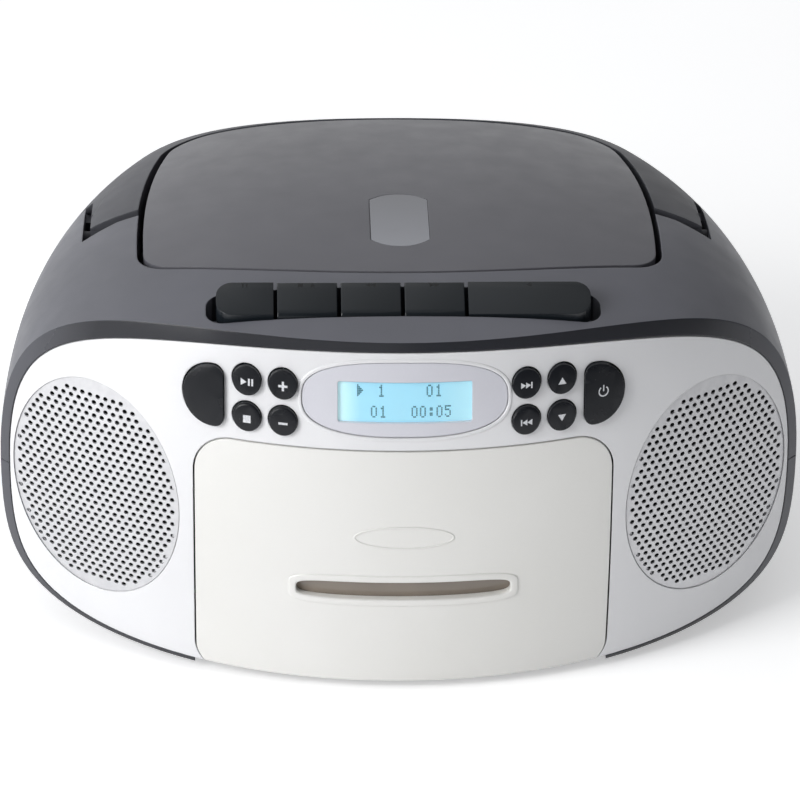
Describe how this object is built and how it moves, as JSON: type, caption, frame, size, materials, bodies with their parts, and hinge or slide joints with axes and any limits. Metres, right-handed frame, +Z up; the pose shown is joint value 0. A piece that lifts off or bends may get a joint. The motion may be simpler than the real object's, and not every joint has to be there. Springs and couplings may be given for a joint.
{
  "type": "cd radio cassette player",
  "caption": "Portable domed radio with a disc player under a top lid, a cassette deck in the bulged front, round loudspeakers, a folding handle and a rear aerial.",
  "frame": {"origin": "on the table under the middle of the object, at the centre of its bounding box's underside", "axes": "+X to the right seen from the front, +Y to the back, +Z up"},
  "size_m": [0.298, 0.23, 0.1494],
  "materials": {
    "case_grey": "satin",
    "panel_white": "satin",
    "door_white": "satin",
    "grille_metal": "satin",
    "button_black": "gloss",
    "smoked_window": "gloss",
    "dark_plastic": "matte",
    "lcd_glass": "gloss",
    "board_green": "satin",
    "speaker_steel": "satin",
    "cone_paper": "matte",
    "plated_steel": "satin",
    "chrome": "gloss",
    "swivel_black": "satin",
    "brass": "satin",
    "rubber": "matte"
  },
  "bodies": {
    "case": {"top_case": "case_grey", "bottom_case": "case_grey", "front_panel": "panel_white", "display_lens": "door_white", "grille_left": "grille_metal", "grille_right": "grille_metal", "cd_deck": "dark_plastic", "ac_inlet": "dark_plastic", "audio_sockets": "dark_plastic", "lcd_module": "lcd_glass", "control_board": "board_green", "main_board": "board_green", "speaker_left": "speaker_steel", "speaker_right": "speaker_steel", "speaker_cone_left": "cone_paper", "speaker_cone_right": "cone_paper", "tape_chassis": "plated_steel", "tape_motor": "plated_steel", "cd_chassis": "plated_steel", "transformer": "plated_steel", "battery_contacts": "plated_steel", "case_screws": "plated_steel", "drive_belt": "rubber", "feet": "rubber"},
    "handle_body": {"handle": "case_grey", "handle_underside": "case_grey"},
    "lid_body": {"cd_lid": "case_grey", "lid_window": "smoked_window"},
    "clamp_body": {"disc_clamp": "dark_plastic"},
    "spindle_body": {"cd_spindle": "dark_plastic"},
    "sled_body": {"laser_sled": "dark_plastic"},
    "cassette_door_body": {"cassette_door": "door_white", "cassette_window": "smoked_window", "cassette_holder": "dark_plastic"},
    "tape_head_body": {"tape_head": "dark_plastic"},
    "pinch_roller_body": {"pinch_roller": "rubber"},
    "capstan_body": {"capstan": "plated_steel"},
    "reel_left_body": {"reel_left": "dark_plastic"},
    "reel_right_body": {"reel_right": "dark_plastic"},
    "pulley_body": {"motor_pulley": "brass"},
    "battery_door_body": {"battery_door": "case_grey"},
    "swivel_body": {"antenna_swivel": "swivel_black"},
    "antenna_1_body": {"antenna_section_1": "chrome"},
    "antenna_2_body": {"antenna_section_2": "chrome"},
    "antenna_3_body": {"antenna_section_3": "chrome"},
    "button_play_pause_body": {"button_play_pause": "button_black"},
    "button_folder_up_body": {"button_folder_up": "button_black"},
    "button_stop_body": {"button_stop": "button_black"},
    "button_folder_down_body": {"button_folder_down": "button_black"},
    "button_skip_forward_body": {"button_skip_forward": "button_black"},
    "button_up_body": {"button_up": "button_black"},
    "button_skip_back_body": {"button_skip_back": "button_black"},
    "button_down_body": {"button_down": "button_black"},
    "button_mode_body": {"button_mode": "button_black"},
    "button_power_body": {"button_power": "button_black"},
    "key_pause_body": {"key_pause": "button_black"},
    "key_stop_eject_body": {"key_stop_eject": "button_black"},
    "key_fast_forward_body": {"key_fast_forward": "button_black"},
    "key_rewind_body": {"key_rewind": "button_black"},
    "key_play_body": {"key_play": "button_black"}
  },
  "joints": [
    {"name": "handle_swing", "type": "hinge", "parent": "case", "child": "handle_body", "pos_m": [0, 0.02, 0.122], "axis": [1, 0, 0], "range_deg": [0, 90]},
    {"name": "lid_hinge", "type": "hinge", "parent": "case", "child": "lid_body", "pos_m": [0, 0.09, 0.129], "axis": [-1, 0, 0], "range_deg": [0, 65]},
    {"name": "clamp_spin", "type": "hinge", "parent": "lid_body", "child": "clamp_body", "pos_m": [0, 0.02, 0.115], "axis": [0, 0, 1], "continuous": true},
    {"name": "disc_spin", "type": "hinge", "parent": "case", "child": "spindle_body", "pos_m": [0, 0.02, 0.108], "axis": [0, 0, 1], "continuous": true},
    {"name": "sled_slide", "type": "slide", "parent": "case", "child": "sled_body", "axis": [0, -1, 0], "range_m": [0, 0.033]},
    {"name": "cassette_door_hinge", "type": "hinge", "parent": "case", "child": "cassette_door_body", "pos_m": [0, -0.1015, 0.012], "axis": [1, 0, 0], "range_deg": [0, 17]},
    {"name": "head_slide", "type": "slide", "parent": "case", "child": "tape_head_body", "axis": [0, 0, -1], "range_m": [0, 0.004]},
    {"name": "pinch_spin", "type": "hinge", "parent": "tape_head_body", "child": "pinch_roller_body", "pos_m": [-0.022, -0.09, 0.093], "axis": [0, 1, 0], "continuous": true},
    {"name": "capstan_spin", "type": "hinge", "parent": "case", "child": "capstan_body", "pos_m": [-0.022, -0.074, 0.0814], "axis": [0, 1, 0], "continuous": true},
    {"name": "reel_left_spin", "type": "hinge", "parent": "case", "child": "reel_left_body", "pos_m": [-0.02125, -0.086, 0.0494], "axis": [0, 1, 0], "continuous": true},
    {"name": "reel_right_spin", "type": "hinge", "parent": "case", "child": "reel_right_body", "pos_m": [0.02125, -0.086, 0.0494], "axis": [0, 1, 0], "continuous": true},
    {"name": "pulley_spin", "type": "hinge", "parent": "case", "child": "pulley_body", "pos_m": [0.035, -0.074, 0.08], "axis": [0, 1, 0], "continuous": true},
    {"name": "battery_door_hinge", "type": "hinge", "parent": "case", "child": "battery_door_body", "pos_m": [0, 0.1078, 0.0242], "axis": [-1, 0, 0], "range_deg": [0, 90]},
    {"name": "antenna_turn", "type": "hinge", "parent": "case", "child": "swivel_body", "pos_m": [0.08, 0.109, 0.095], "axis": [0, 1, 0], "range_deg": [0, 180]},
    {"name": "antenna_elbow", "type": "hinge", "parent": "swivel_body", "child": "antenna_1_body", "pos_m": [0.072, 0.1123, 0.095], "axis": [0, 0, -1], "range_deg": [0, 90]},
    {"name": "antenna_draw_1", "type": "slide", "parent": "antenna_1_body", "child": "antenna_2_body", "axis": [-1, 0, 0], "range_m": [0, 0.13]},
    {"name": "antenna_draw_2", "type": "slide", "parent": "antenna_2_body", "child": "antenna_3_body", "axis": [-1, 0, 0], "range_m": [0, 0.13]},
    {"name": "button_play_pause_press", "type": "slide", "parent": "case", "child": "button_play_pause_body", "axis": [0, 1, 0], "range_m": [0, 0.0012], "stiffness_N_per_m": 400, "springref_m": -0.001},
    {"name": "button_folder_up_press", "type": "slide", "parent": "case", "child": "button_folder_up_body", "axis": [0, 1, 0], "range_m": [0, 0.0012], "stiffness_N_per_m": 400, "springref_m": -0.001},
    {"name": "button_stop_press", "type": "slide", "parent": "case", "child": "button_stop_body", "axis": [0, 1, 0], "range_m": [0, 0.0012], "stiffness_N_per_m": 400, "springref_m": -0.001},
    {"name": "button_folder_down_press", "type": "slide", "parent": "case", "child": "button_folder_down_body", "axis": [0, 1, 0], "range_m": [0, 0.0012], "stiffness_N_per_m": 400, "springref_m": -0.001},
    {"name": "button_skip_forward_press", "type": "slide", "parent": "case", "child": "button_skip_forward_body", "axis": [0, 1, 0], "range_m": [0, 0.0012], "stiffness_N_per_m": 400, "springref_m": -0.001},
    {"name": "button_up_press", "type": "slide", "parent": "case", "child": "button_up_body", "axis": [0, 1, 0], "range_m": [0, 0.0012], "stiffness_N_per_m": 400, "springref_m": -0.001},
    {"name": "button_skip_back_press", "type": "slide", "parent": "case", "child": "button_skip_back_body", "axis": [0, 1, 0], "range_m": [0, 0.0012], "stiffness_N_per_m": 400, "springref_m": -0.001},
    {"name": "button_down_press", "type": "slide", "parent": "case", "child": "button_down_body", "axis": [0, 1, 0], "range_m": [0, 0.0012], "stiffness_N_per_m": 400, "springref_m": -0.001},
    {"name": "button_mode_press", "type": "slide", "parent": "case", "child": "button_mode_body", "axis": [0, 1, 0], "range_m": [0, 0.0012], "stiffness_N_per_m": 400, "springref_m": -0.001},
    {"name": "button_power_press", "type": "slide", "parent": "case", "child": "button_power_body", "axis": [0, 1, 0], "range_m": [0, 0.0012], "stiffness_N_per_m": 400, "springref_m": -0.001},
    {"name": "key_pause_press", "type": "slide", "parent": "case", "child": "key_pause_body", "axis": [0, 0, -1], "range_m": [0, 0.005], "stiffness_N_per_m": 400, "springref_m": -0.001},
    {"name": "key_stop_eject_press", "type": "slide", "parent": "case", "child": "key_stop_eject_body", "axis": [0, 0, -1], "range_m": [0, 0.005], "stiffness_N_per_m": 400, "springref_m": -0.001},
    {"name": "key_fast_forward_press", "type": "slide", "parent": "case", "child": "key_fast_forward_body", "axis": [0, 0, -1], "range_m": [0, 0.005], "stiffness_N_per_m": 400, "springref_m": -0.001},
    {"name": "key_rewind_press", "type": "slide", "parent": "case", "child": "key_rewind_body", "axis": [0, 0, -1], "range_m": [0, 0.005], "stiffness_N_per_m": 400, "springref_m": -0.001},
    {"name": "key_play_press", "type": "slide", "parent": "case", "child": "key_play_body", "axis": [0, 0, -1], "range_m": [0, 0.005], "stiffness_N_per_m": 400, "springref_m": -0.001}
  ],
  "couplings": [
    {"joint": "head_slide", "follows": "key_play_press", "ratio": 0.8},
    {"joint": "pulley_spin", "follows": "capstan_spin", "ratio": 4.5}
  ]
}
